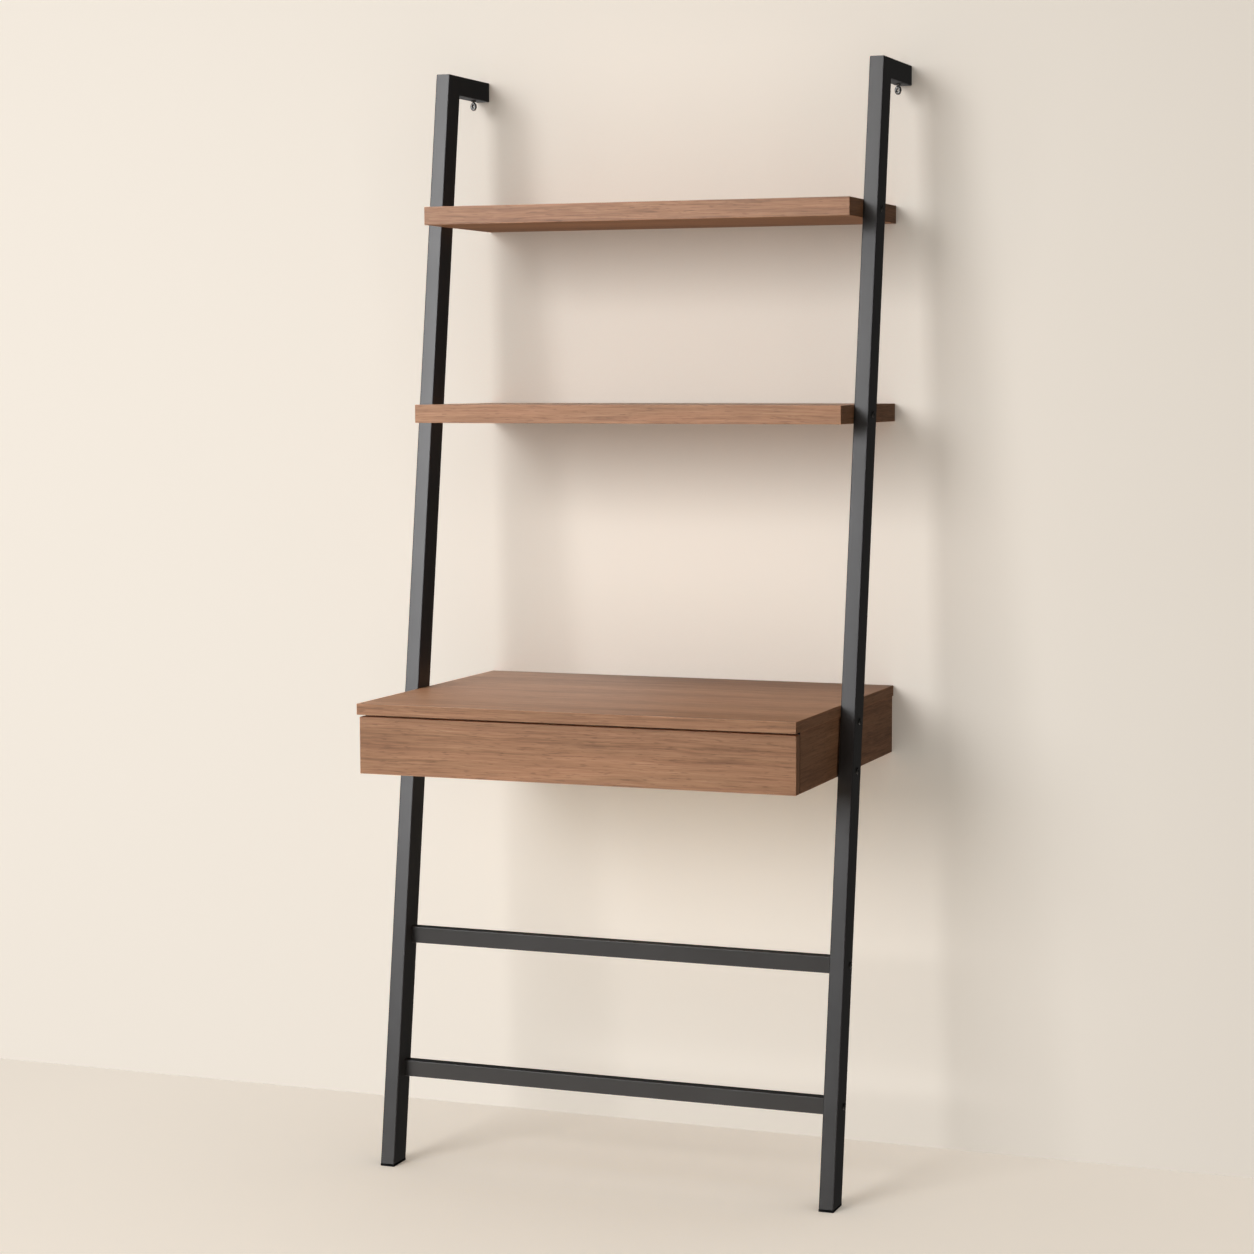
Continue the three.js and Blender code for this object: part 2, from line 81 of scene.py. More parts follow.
LEAN = radians(8.13)
TUBE_WIDTH = 25 * MM
TUBE_DEPTH = 46 * MM
TUBE_WALL = 1.5 * MM
TUBE_CORNER = 2.0 * MM  # outer corner radius
TUBE_INNER_CORNER = TUBE_CORNER / 4
RETURN_HEIGHT = 33 * MM
PIN_RADIUS = 3 * MM
PIN_LENGTH = 8 * MM
PIN_OFFSET = 13 * MM  # behind the bolt of the same shelf

BOLT_SHANK = 3 * MM  # radius
BOLT_HEAD = 5.5 * MM  # radius
BOLT_RISE = 2.6 * MM
BOLT_CHAMFER = 0.25 * MM
BOLT_TIP = 0.8 * MM
BOLT_SOCKET = 2.0 * MM  # circumradius of the hexagon
BOLT_SOCKET_DEPTH = 1.7 * MM

EYE_SHANK = 2 * MM  # radius
EYE_TIP = 0.5 * MM
EYE_COLLAR = 4.5 * MM  # radius
EYE_COLLAR_HEIGHT = 2 * MM
EYE_COLLAR_EASE = 0.4 * MM
BRACKET_CLEARANCE = 0.6 * MM  # below the wall bracket, inside the return
EYE_WIRE = 2.5 * MM  # radius
EYE_LOOP = (3.3 * MM, 5.1 * MM)  # half axes of the centre line, across and up

SLIDE_GAUGE = 1.2 * MM
SLIDE_BEND = 2.0 * MM  # outer radius of a bend
SLIDE_SLOT = (22 * MM, 5 * MM)  # length and height
SLIDE_HOLE = 6 * MM
SLOTS_AT = {  # shares of a member's length, as for the holes and the screws
    "case": (0.2, 0.42, 0.66),
    "middle": (0.12, 0.5, 0.88),
    "drawer": (0.17, 0.45, 0.72),
}
HOLES_AT = {"case": (0.3, 0.54, 0.8), "middle": (0.3, 0.7), "drawer": (0.28, 0.58, 0.84)}
SCREWS_AT = {"case": (0.06, 0.48, 0.93), "middle": (), "drawer": (0.05, 0.52, 0.94)}

SCREW_HEAD = 3.4 * MM  # radius
SCREW_RECESS = (1.7 * MM, 0.45 * MM)  # arm length and half width of the cross
SCREW_SHANK = 2 * MM  # radius
SLIDE_SCREW_LENGTH = 10 * MM
SLIDE_SCREW_RISE = {"case": 0.3 * MM, "drawer": 1.5 * MM}  # the middle member runs past the low ones
FRONT_SCREW_RISE = 2.2 * MM

CAMERA_AT = Vector((1.6582, -4.3928, 1.3179))
CAMERA_HEADING = 20.783  # degrees to the left of +Y
CAMERA_TILT = -5.033  # degrees above the horizon
CAMERA_ROLL = -0.139  # degrees
CAMERA_LENS = 82.09  # millimetres, as for a film 36 mm wide

STAGE_REACH = 40.0
BACKDROP_RADIUS = 1.5 * STAGE_REACH
BACKDROP_SIDES = 24
WALL_PAINT = (0.755, 0.684, 0.607)
FLOOR_PAINT = (0.77, 0.694, 0.615)
GLOW_TINT = (1.0, 0.993, 0.952)  # the light in the shadows is warmer
WALL_GLOW = 0.55
FLOOR_GLOW = 0.74
WALL_FADE = (2.5, 6.0)  # distances from the desk
FLOOR_FADE = (1.4, 3.6)
WALL_CORNER = 0.28  # how far from a corner the glow is dimmed
FLOOR_CORNER = 1.0
FAR_PAINT = (0.01, 0.01, 0.01)  # past the fade a surface shows its own light alone

LIT_POINT = Vector((0, 0.1, 0.95))  # what the lamps are placed round
KEY_SIZE = (3.6, 3.6)
KEY_DISTANCE = 8.0
KEY_ON_DESK = (50, Vector((-1.2, 0.1, 1.1)))  # beam in degrees, and where it is aimed
KEY_ON_STAGE = (75, Vector((-1.2, 0.1, 0.6)))
KEY_COLOUR = (0.98, 1.01, 1.04)
LAMP_COLOUR = (1.0, 0.97, 0.92)
BOUNCE_COLOUR = (1.0, 0.92, 0.82)  # light that the floor gives back
AMBIENT = (1.0, 0.975, 0.94)
AMBIENT_STRENGTH = 0.06


# ---------- node materials ----------

class Recipe:
    """A material with a Principled shader, and short calls that add nodes to it. A value fed to a
    node is a constant or another node's output."""

    def __init__(self, name, **constants):
        self.material = bpy.data.materials.new(name)
        self.material.use_nodes = True
        self.tree = self.material.node_tree
        self.shader = self.tree.nodes["Principled BSDF"]
        for socket, value in constants.items():
            self.shader.inputs[socket.replace("_", " ")].default_value = value

    def add(self, kind, feeds=None, **settings):
        node = self.tree.nodes.new(kind)
        for key, value in settings.items():
            setattr(node, key, value)
        for key, value in (feeds or {}).items():
            self.feed(node.inputs[key], value)
        return node

    def feed(self, socket, value):
        if isinstance(value, bpy.types.NodeSocket):
            self.tree.links.new(value, socket)
        else:
            socket.default_value = value

    def coordinates(self, output="Object"):
        return self.add("ShaderNodeTexCoord").outputs[output]

    def split(self, vector):
        return self.add("ShaderNodeSeparateXYZ", {0: vector}).outputs

    def join(self, x, y, z):
        return self.add("ShaderNodeCombineXYZ", {0: x, 1: y, 2: z}).outputs[0]

    def place(self, vector, scale, location=(0, 0, 0)):
        feeds = {"Vector": vector, "Location": location, "Scale": scale}
        return self.add("ShaderNodeMapping", feeds).outputs[0]

    def noise(self, vector, scale=1.0, detail=2.0, roughness=0.5, distortion=0.0):
        feeds = {
            "Vector": vector,
            "Scale": scale,
            "Detail": detail,
            "Roughness": roughness,
            "Distortion": distortion,
        }
        return self.add("ShaderNodeTexNoise", feeds).outputs["Fac"]

    def grain_noise(self, vector, along, across, detail=2, roughness=0.5, distortion=0.0):
        """Noise drawn out along X: the scales are per metre along the grain and across it."""
        scaled = self.place(vector, (along, across, across))
        return self.noise(scaled, 1.0, detail, roughness, distortion)

    def shifted(self, vector, offset):
        return self.add("ShaderNodeVectorMath", {0: vector, 1: offset}, operation="ADD").outputs[0]

    def math(self, operation, a, b=0.0):
        return self.add("ShaderNodeMath", {0: a, 1: b}, operation=operation).outputs[0]

    def spread(self, value, low, high, to_low=0.0, to_high=1.0):
        """Maps a value from low..high to to_low..to_high, and holds it in there."""
        feeds = {0: value, 1: low, 2: high, 3: to_low, 4: to_high}
        return self.add("ShaderNodeMapRange", feeds).outputs[0]

    def pick(self, share, a, b):
        """Vector a where share is 0 and b where it is 1."""
        node = self.add("ShaderNodeMix", data_type="VECTOR")
        self.feed(node.inputs["Factor"], share)
        self.feed(node.inputs[4], a)
        self.feed(node.inputs[5], b)
        return node.outputs[1]

    def tint(self, share, a, b, blend="MIX"):
        node = self.add("ShaderNodeMix", data_type="RGBA", blend_type=blend)
        self.feed(node.inputs["Factor"], share)
        for socket, colour in ((node.inputs[6], a), (node.inputs[7], b)):
            self.feed(socket, colour if isinstance(colour, bpy.types.NodeSocket) else (*colour, 1))
        return node.outputs[2]

    def ramp(self, share, stops):
        node = self.add("ShaderNodeValToRGB", {0: share})
        elements = node.color_ramp.elements
        while len(elements) < len(stops):
            elements.new(0.5)
        for element, (position, colour) in zip(elements, stops):
            element.position = position
            element.color = (*colour, 1)
        return node.outputs[0]

    def bump(self, height, strength, distance):
        feeds = {"Height": height, "Strength": strength, "Distance": distance}
        self.feed(self.shader.inputs["Normal"], self.add("ShaderNodeBump", feeds).outputs[0])

    def paint(self, colour, roughness=None):
        self.feed(self.shader.inputs["Base Color"], colour)
        if roughness is not None:
            self.feed(self.shader.inputs["Roughness"], roughness)
        return self.material


WALNUT_TONES = (
    (0.00, (0.100, 0.044, 0.022)),
    (0.30, (0.220, 0.102, 0.051)),
    (0.52, (0.315, 0.152, 0.078)),
    (0.74, (0.388, 0.195, 0.104)),
    (1.00, (0.475, 0.258, 0.148)),
)
WALNUT_COOL = (0.96, 1.0, 1.0)  # multiplies the tone in the less red patches
WALNUT_SWAY = 6 * MM  # how far the grain wanders to either side
WALNUT_LINE = (0.10, 0.045, 0.022)
WALNUT_PORE = (0.08, 0.036, 0.018)
# painted shade: near black on front edges, standing in for the shadow in the gap behind the drawer front
GAP_SHADE_COLOUR = (0.012, 0.008, 0.006)
PLY_TONES = (
    (0.0, (0.43, 0.30, 0.18)),
    (0.5, (0.56, 0.42, 0.27)),
    (1.0, (0.66, 0.52, 0.36)),
)
PLY_LAYER_TONES = ((0.0, (0.30, 0.19, 0.11)), PLY_TONES[-1])
PLY_LAYER = 1.35 * MM
COAT_TONES = ((0.0225, 0.0222, 0.0225), (0.0325, 0.032, 0.0325))
FACE_COSINE = 0.7  # a face looks along an axis when its normal's part on the axis is larger


def along_grain(recipe, axis, end_axis, shift):
    """Coordinates whose X runs with the grain. A face that looks along the grain's axis is an
    edge band, and its grain runs along end_axis instead."""
    place = recipe.split(recipe.coordinates())
    facing = recipe.split(recipe.coordinates("Normal"))[axis]
    across = [i for i in range(3) if i != axis]
    plain = recipe.join(place[axis], place[across[0]], place[across[1]])
    band_across = [i for i in range(3) if i != end_axis]
    band = recipe.join(place[end_axis], place[band_across[0]], place[band_across[1]])
    is_band = recipe.math("GREATER_THAN", recipe.math("ABSOLUTE", facing), FACE_COSINE)
    return recipe.place(recipe.pick(is_band, plain, band), (1, 1, 1), shift)


def walnut(name, axis, end_axis, shift, tone, shaded_front):
    """Satin walnut veneer. shift moves the figure, so that no two boards look alike, and a higher tone
    is a paler board. A shaded front has its edges that face the front painted near black: painted shade
    for the shadow in the gap behind the drawer front."""
    recipe = Recipe(name, Specular_IOR_Level=0.35)
    start = along_grain(recipe, axis, end_axis, shift)
    sway = recipe.grain_noise(start, 2.5, 9, detail=3)
    sway = recipe.spread(sway, 0.2, 0.8, -WALNUT_SWAY, WALNUT_SWAY)
    grain = recipe.shifted(start, recipe.join(0.0, sway, sway))
    figure = recipe.grain_noise(grain, 0.9, 15)
    streak = recipe.grain_noise(grain, 2.0, 100)
    strand = recipe.grain_noise(grain, 7, 280, roughness=0.6)
    fibre = recipe.grain_noise(grain, 20, 520, roughness=0.6)
    line = recipe.grain_noise(grain, 5, 260)
    patch = recipe.grain_noise(grain, 4, 45)
    pore = recipe.grain_noise(grain, 50, 520, detail=1)
    for part, weight in ((figure, 0.33), (streak, 0.24), (strand, 0.38), (fibre, 0.28)):
        level = recipe.spread(part, 0.25, 0.75, -weight / 2, weight / 2)
        tone = recipe.math("ADD", level, tone)
    colour = recipe.ramp(tone, WALNUT_TONES)
    colour = recipe.tint(recipe.spread(patch, 0.35, 0.65), colour, WALNUT_COOL, "MULTIPLY")
    lines = recipe.spread(line, 0.40, 0.34, 0.0, 0.2)
    colour = recipe.tint(lines, colour, WALNUT_LINE)
    pits = recipe.spread(pore, 0.60, 0.70)
    colour = recipe.tint(recipe.math("MULTIPLY", pits, 0.35), colour, WALNUT_PORE)
    # painted shade: edges that face the front go near black, as the shadow in the gap behind the drawer
    # front
    if shaded_front:
        facing = recipe.split(recipe.coordinates("Normal"))[1]
        is_front = recipe.math("LESS_THAN", facing, -FACE_COSINE)
        colour = recipe.tint(is_front, colour, GAP_SHADE_COLOUR)
    height = recipe.math("SUBTRACT", fibre, recipe.math("MULTIPLY", pits, 0.8))
    recipe.bump(height, 0.2, 0.12 * MM)
    return recipe.paint(colour, recipe.spread(fibre, 0.2, 0.8, 0.46, 0.38))


def birch_ply(name, axis, thickness_axis, shift):
    """Pale plywood: long grain on the two faces, and layers on all the edges."""
    recipe = Recipe(name)
    place = recipe.split(recipe.coordinates())
    other = 3 - axis - thickness_axis
    start = recipe.join(place[axis], place[other], place[thickness_axis])
    start = recipe.place(start, (1, 1, 1), shift)
    figure = recipe.grain_noise(start, 1.5, 26, distortion=0.6)
    fibre = recipe.grain_noise(start, 20, 420)
    tone = recipe.math("ADD", recipe.math("MULTIPLY", figure, 0.6), recipe.math("MULTIPLY", fibre, 0.4))
    face = recipe.ramp(recipe.spread(tone, 0.3, 0.7), PLY_TONES)
    layer = recipe.math("MULTIPLY", place[thickness_axis], 1 / PLY_LAYER)
    layer = recipe.spread(recipe.math("PINGPONG", layer, 1.0), 0.3, 0.7)
    edge = recipe.ramp(layer, PLY_LAYER_TONES)
    facing = recipe.split(recipe.coordinates("Normal"))[thickness_axis]
    is_face = recipe.math("GREATER_THAN", recipe.math("ABSOLUTE", facing), FACE_COSINE)
    colour = recipe.tint(is_face, edge, face)
    recipe.bump(fibre, 0.2, 0.1 * MM)
    return recipe.paint(colour, recipe.spread(fibre, 0.2, 0.8, 0.66, 0.54))


def powder_coat():
    """Charcoal black powder coat with a fine orange peel."""
    recipe = Recipe("frame_coat", Specular_Tint=(1.0, 0.965, 0.95, 1))
    place = recipe.coordinates()
    cloud = recipe.noise(place, 9, 3)
    peel = recipe.noise(place, 1100, 2)
    colour = recipe.tint(recipe.spread(cloud, 0.3, 0.7), *COAT_TONES)
    recipe.bump(peel, 0.15, 0.06 * MM)
    return recipe.paint(colour, recipe.spread(recipe.math("ADD", cloud, peel), 0.7, 1.3, 0.35, 0.42))


def metal(name, colour, roughness, streak_scale, metallic=1.0):
    """Plated or oiled metal, with fine streaks of rolling and a mottled sheen."""
    recipe = Recipe(name, Metallic=metallic)
    place = recipe.coordinates()
    rolled = recipe.noise(recipe.place(place, streak_scale), detail=3)
    mottle = recipe.noise(place, 60, 3)
    darker = tuple(0.78 * channel for channel in colour)
    shade = recipe.tint(recipe.spread(recipe.math("ADD", rolled, mottle), 0.7, 1.3), darker, colour)
    recipe.bump(rolled, 0.08, 0.05 * MM)
    return recipe.paint(shade, recipe.spread(mottle, 0.3, 0.7, roughness - 0.05, roughness + 0.07))


def moulded(name, colour, roughness, gloss):
    """Moulded plastic with a fine eroded texture, and a gloss between 0 and 1."""
    recipe = Recipe(name, Specular_IOR_Level=gloss)
    place = recipe.coordinates()
    grain = recipe.noise(place, 1500, 2)
    cloud = recipe.noise(place, 40, 2)
    lighter = tuple(1.35 * channel for channel in colour)
    recipe.bump(grain, 0.2, 0.06 * MM)
    shade = recipe.tint(recipe.spread(cloud, 0.3, 0.7), colour, lighter)
    return recipe.paint(shade, recipe.spread(grain, 0.3, 0.7, roughness - 0.05, roughness + 0.05))


X_AXIS, Y_AXIS, Z_AXIS = 0, 1, 2
WALNUT_GRAIN = {  # axis of the grain, its axis on the end bands, tone, and whether its front edges get painted gap shade
    # the lower tones of the top and middle shelves are painted shade, standing in for weaker light on
    # their front edges
    "top_shelf": (X_AXIS, Y_AXIS, 0.44, False),
    "middle_shelf": (X_AXIS, Y_AXIS, 0.51, False),
    "desk_top": (X_AXIS, Y_AXIS, 0.56, False),
    "desk_left_side": (Y_AXIS, Z_AXIS, 0.55, True),
    "desk_right_side": (Y_AXIS, Z_AXIS, 0.55, True),
    "desk_back": (X_AXIS, Z_AXIS, 0.55, False),
    "desk_front_rail": (X_AXIS, Y_AXIS, 0.55, True),
    "drawer_front": (X_AXIS, Z_AXIS, 0.545, False),
}
PLY_GRAIN = {  # axis of the grain, and axis of the thickness
    "drawer_subfront": (X_AXIS, Y_AXIS),
    "drawer_left_side": (Y_AXIS, X_AXIS),
    "drawer_right_side": (Y_AXIS, X_AXIS),
    "drawer_back": (X_AXIS, Y_AXIS),
    "drawer_bottom": (X_AXIS, Z_AXIS),
}
FIGURE_START = (0.37, 0.0, 0.0)
FIGURE_STEP = (1.9, 0.73, 0.31)  # from one board to the next

plain_materials = {
    "frame_coat": powder_coat(),
    "zinc_steel": metal("zinc_steel", (0.62, 0.63, 0.64), 0.38, (700, 8, 700), 0.35),
    "eye_steel": metal("eye_steel", (0.17, 0.165, 0.16), 0.28, (500, 500, 500), 0.8),
    "black_bolt": metal("black_bolt", (0.065, 0.064, 0.062), 0.32, (400, 400, 400), 0.6),
    "brass_insert": metal("brass_insert", (0.72, 0.52, 0.25), 0.32, (40, 600, 600)),
    "black_plastic": moulded("black_plastic", (0.005, 0.005, 0.005), 0.6, 0.1),
    "black_nylon": moulded("black_nylon", (0.022, 0.022, 0.022), 0.5, 0.5),
}


def material_of(node, slot):
    """The material of a CAD node. Each board has wood of its own, with its figure moved along."""
    for make, boards in ((walnut, WALNUT_GRAIN), (birch_ply, PLY_GRAIN)):
        if node in boards:
            order = list(boards).index(node)
            axis, end_axis, *rest = boards[node]
            shift = tuple(start + step * order for start, step in zip(FIGURE_START, FIGURE_STEP))
            return make(f"{slot}_{node}", axis, end_axis, shift, *rest)
    return plain_materials[slot]


# ---------- CAD nodes that stay ----------

slot_of = {part["node"]: part["material_slot"] for part in frame["record"]["subparts"]}
body_of = {
    node: body for body, nodes in frame["record"]["behaviour"]["bodies"].items() for node in nodes
}
ease_of = {
    "walnut": BOARD_EASE,
    "drawer_board": BOARD_EASE,
    "zinc_steel": SHEET_EASE,
    "black_plastic": PLASTIC_EASE,
    "black_nylon": SHEET_EASE,
    "brass_insert": SHEET_EASE,
}


def ease_edges(piece, width):
    """Rounds a node's edges with modifiers, and leaves its own mesh as it is."""
    for name in ("custom_normal", "sharp_edge", "sharp_face"):
        attribute = piece.data.attributes.get(name)
        if attribute:
            piece.data.attributes.remove(attribute)
    weld = piece.modifiers.new("weld", "WELD")
    weld.merge_threshold = WELD_GAP
    bevel = piece.modifiers.new("eased_edges", "BEVEL")
    bevel.width = width
    bevel.segments = 3
    bevel.limit_method = "ANGLE"
    bevel.angle_limit = EASED_ANGLE
    bevel.harden_normals = True


def finish_cad_nodes():
    """Gives every CAD node its material, and rounds the edges of those that are cut or moulded."""
    for name, piece in frame["nodes"].items():
        piece.data.materials.clear()
        piece.data.materials.append(material_of(name, slot_of[name]))
        if slot_of[name] in ease_of:
            ease_edges(piece, ease_of[slot_of[name]])


# ---------- building blocks ----------

def piece_from(mesh, name, body, material):
    """Turns a bmesh into a shown piece that rides on a body."""
    bmesh.ops.remove_doubles(mesh, verts=mesh.verts, dist=MERGE_GAP)
    bmesh.ops.recalc_face_normals(mesh, faces=mesh.faces)
    data = bpy.data.meshes.new(name)
    mesh.to_mesh(data)
    mesh.free()
    data.materials.append(material)
    data.shade_smooth()
    data.set_sharp_from_angle(angle=CREASE_ANGLE)
    piece = bpy.data.objects.new(name, data)
    bpy.context.scene.collection.objects.link(piece)
    flat = piece.modifiers.new("flat_faces", "WEIGHTED_NORMAL")
    flat.keep_sharp = True
    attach(piece, body)
    return piece


def stand_in(mesh, node, material=None):
    """A finer piece that takes the place, the body and the finish of a CAD node."""
    slot = slot_of[node]
    piece = piece_from(mesh, f"{node}_fine", body_of[node], material or plain_materials[slot])
    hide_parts(node)
    return piece


def bridge(mesh, rings):
    """Faces between each ring of vertices and the next."""
    for lower, upper in zip(rings, rings[1:]):
        for i in range(len(lower)):
            j = (i + 1) % len(lower)
            mesh.faces.new((lower[i], lower[j], upper[j], upper[i]))


def rings_of(mesh, rings):
    """Vertices at rings of points."""
    return [[mesh.verts.new(point) for point in ring] for ring in rings]


def solid_through(mesh, rings):
    """A solid through matching rings of points, closed at both ends."""
    rings = rings_of(mesh, rings)
    bridge(mesh, rings)
    mesh.faces.new(rings[0])
    mesh.faces.new(rings[-1])


def tube_through(mesh, outer, inner):
    """A hollow tube through matching rings of points, open at both ends."""
    outer = rings_of(mesh, outer)
    inner = rings_of(mesh, inner)
    bridge(mesh, outer)
    bridge(mesh, inner)
    for end in (0, -1):
        bridge(mesh, (outer[end], inner[end]))


def arc(centre, radius, start, end, steps):
    """Points on an arc; radius is one number or two half axes, and the angles are in degrees."""
    across, up = radius if isinstance(radius, tuple) else (radius, radius)
    angles = [radians(start + (end - start) * step / steps) for step in range(steps + 1)]
    return [(centre[0] + across * cos(a), centre[1] + up * sin(a)) for a in angles]


def rounded_section(width, depth, radius):
    """Points round a rectangle with rounded corners, about the origin."""
    corners = ((1, 1, 0), (-1, 1, 90), (-1, -1, 180), (1, -1, 270))
    points = []
    for across, along, turn in corners:
        centre = (across * (width / 2 - radius), along * (depth / 2 - radius))
        points += arc(centre, radius, turn, turn + 90, 4)
    return points


def hexagon(circumradius):
    """Radius of a hexagon at an angle."""
    apothem = circumradius * cos(pi / 6)
    return lambda angle: apothem / cos((angle % (pi / 3)) - pi / 6)


def cross(arm, half_width):
    """Radius of a cross at an angle."""
    def radius(angle):
        near = max(abs(cos(angle)), 1e-6)
        far = max(abs(sin(angle)), 1e-6)
        return max(min(arm / near, half_width / far), min(arm / far, half_width / near))
    return radius


def lathe(mesh, at, outward, profile, sides=ROUND_SIDES):
    """A turned solid. The profile lists (radius, along the outward axis) from end to end, and a
    radius may be a function of the angle."""
    turn = Vector(outward).to_track_quat("Z", "Y").to_matrix()
    rings = []
    for radius, along in profile:
        ring = []
        for i in range(sides):
            angle = 2 * pi * i / sides
            reach = radius(angle) if callable(radius) else radius
            ring.append(Vector(at) + turn @ Vector((reach * cos(angle), reach * sin(angle), along)))
        rings.append(ring)
    solid_through(mesh, rings)


def box_of(node):
    """The two corners of a CAD node's box."""
    low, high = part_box(node)
    return Vector(low), Vector(high)


# ---------- uprights, stretchers and lock eyes ----------

def add_upright(side_name, side):
    """A leaning tube that turns level at its top, and the pins that enter the shelves."""
    node = f"{side_name}_upright"
    low, high = box_of(node)
    inner_face = max(abs(low.x), abs(high.x)) - TUBE_WIDTH
    middle = side * (inner_face + TUBE_WIDTH / 2)
    level_depth = TUBE_DEPTH / cos(LEAN)
    foot, top = low.z, high.z
    under = top - RETURN_HEIGHT

    def front(level):
        return low.y + tan(LEAN) * (level - foot)

    stations = (
        (Vector((front(foot), foot)), Vector((front(foot) + level_depth, foot))),
        (Vector((front(top), top)), Vector((front(under) + level_depth, under))),
        (Vector((high.y, top)), Vector((high.y, under))),
    )

    def rings(section):
        around = []
        for near, far in stations:
            ring = []
            for across, along in section:
                place = near.lerp(far, along / TUBE_DEPTH + 0.5)
                ring.append((middle + across, place.x, place.y))
            around.append(ring)
        return around

    outer = rounded_section(TUBE_WIDTH, TUBE_DEPTH, TUBE_CORNER)
    inner = rounded_section(TUBE_WIDTH - 2 * TUBE_WALL, TUBE_DEPTH - 2 * TUBE_WALL, TUBE_INNER_CORNER)
    mesh = bmesh.new()
    tube_through(mesh, rings(outer), rings(inner))
    for shelf in ("top_shelf", "middle_shelf"):
        bolt_low, bolt_high = box_of(f"{shelf}_{side_name}_bolt")
        at = (bolt_low + bolt_high) / 2 + Vector((0, PIN_OFFSET, 0))
        at.x = side * (inner_face + TUBE_WALL / 2)
        reach = PIN_LENGTH + TUBE_WALL / 2
        profile = ((PIN_RADIUS, 0), (PIN_RADIUS, 0.93 * reach), (0.85 * PIN_RADIUS, reach))
        lathe(mesh, at, (-side, 0, 0), profile, PIN_SIDES)
    stand_in(mesh, node)


def add_stretcher(node):
    """A level tube along X, open at both ends."""
    low, high = box_of(node)
    centre = (low + high) / 2
    size = high - low

    def rings(section):
        return [
            [(x, centre.y + across, centre.z + along) for across, along in section]
            for x in (low.x, high.x)
        ]

    outer = rounded_section(size.y, size.z, TUBE_CORNER)
    inner = rounded_section(size.y - 2 * TUBE_WALL, size.z - 2 * TUBE_WALL, TUBE_INNER_CORNER)
    mesh = bmesh.new()
    tube_through(mesh, rings(outer), rings(inner))
    return stand_in(mesh, node)


def add_lock_eye(side_name):
    """A shank with a round collar, and below it a loop of wire."""
    node = f"{side_name}_lock_eye"
    low, high = box_of(node)
    centre = (low + high) / 2
    mesh = bmesh.new()
    half_width, half_height = EYE_LOOP
    loop_middle = low.z + half_height + EYE_WIRE
    loop_top = loop_middle + half_height
    length = high.z - loop_top
    shank = ((EYE_SHANK, 0), (EYE_SHANK, length - EYE_TIP), (0.75 * EYE_SHANK, length))
    lathe(mesh, (centre.x, centre.y, loop_top), (0, 0, 1), shank, PIN_SIDES)
    collar_top = box_of(f"{side_name}_wall_bracket")[0].z - TUBE_WALL - BRACKET_CLEARANCE
    collar = (
        (EYE_COLLAR - EYE_COLLAR_EASE, 0),
        (EYE_COLLAR, EYE_COLLAR_EASE),
        (EYE_COLLAR, EYE_COLLAR_HEIGHT - EYE_COLLAR_EASE),
        (EYE_COLLAR - EYE_COLLAR_EASE, EYE_COLLAR_HEIGHT),
    )
    lathe(mesh, (centre.x, centre.y, collar_top - EYE_COLLAR_HEIGHT), (0, 0, 1), collar)
    wire = arc((0, 0), EYE_WIRE, 0, 330, 11)
    rings = []
    for i in range(EYE_STEPS):
        angle = 2 * pi * i / EYE_STEPS
        outward = Vector((cos(angle) / half_width, 0, sin(angle) / half_height)).normalized()
        place = Vector((half_width * cos(angle), 0, half_height * sin(angle)))
        place += Vector((centre.x, centre.y, loop_middle))
        rings.append([place + outward * across + Vector((0, along, 0)) for across, along in wire])
    rings = rings_of(mesh, rings)
    bridge(mesh, rings + rings[:1])
    stand_in(mesh, node, plain_materials["eye_steel"])


# ---------- bolts and screws ----------

def add_bolt(node):
    """A button head with a hexagon socket, on a shank with a chamfered tip."""
    low, high = box_of(node)
    centre = (low + high) / 2
    side = 1 if centre.x > 0 else -1
    outer = max(abs(low.x), abs(high.x)) - BOLT_RISE
    length = outer - min(abs(low.x), abs(high.x))
    crown = 0.6 * BOLT_HEAD
    rim = 0.4 * BOLT_RISE
    dome = arc((crown, rim), (BOLT_HEAD - crown, BOLT_RISE - rim), 0, 90, 6)
    profile = [
        (BOLT_SHANK - BOLT_TIP, -length),
        (BOLT_SHANK, BOLT_TIP - length),
        (BOLT_SHANK, 0),
        (BOLT_HEAD - BOLT_CHAMFER, 0),
        (BOLT_HEAD, BOLT_CHAMFER),
        *dome,
        (BOLT_SOCKET + BOLT_CHAMFER, BOLT_RISE),
        (hexagon(BOLT_SOCKET), BOLT_RISE - BOLT_CHAMFER),
        (hexagon(BOLT_SOCKET), BOLT_RISE - BOLT_SOCKET_DEPTH),
    ]
    mesh = bmesh.new()
    lathe(mesh, (side * outer, centre.y, centre.z), (side, 0, 0), profile)
    stand_in(mesh, node)


def screw_profile(head, rise, shank, length):
    """Profile of a pan head screw with a cross recess, from its tip to the recess."""
    arm, half_width = SCREW_RECESS
    dome = arc((0.55 * head, 0.35 * rise), (0.45 * head, 0.65 * rise), 0, 90, 5)
    return [
        (0.2 * shank, -length),
        (shank, 1.6 * shank - length),
        (shank, 0),
        (head, 0),
        *dome,
        (cross(arm, half_width), rise),
        (cross(0.7 * arm, half_width), 0.35 * rise),
    ]


def add_front_screw(node):
    """A screw that holds the drawer front from inside the drawer."""
    low, high = box_of(node)
    centre = (low + high) / 2
    seat = high.y - FRONT_SCREW_RISE
    profile = screw_profile((high.x - low.x) / 2, FRONT_SCREW_RISE, SCREW_SHANK, seat - low.y)
    mesh = bmesh.new()
    lathe(mesh, (centre.x, seat, centre.z), (0, 1, 0), profile)
    stand_in(mesh, node)


# ---------- telescopic slides ----------

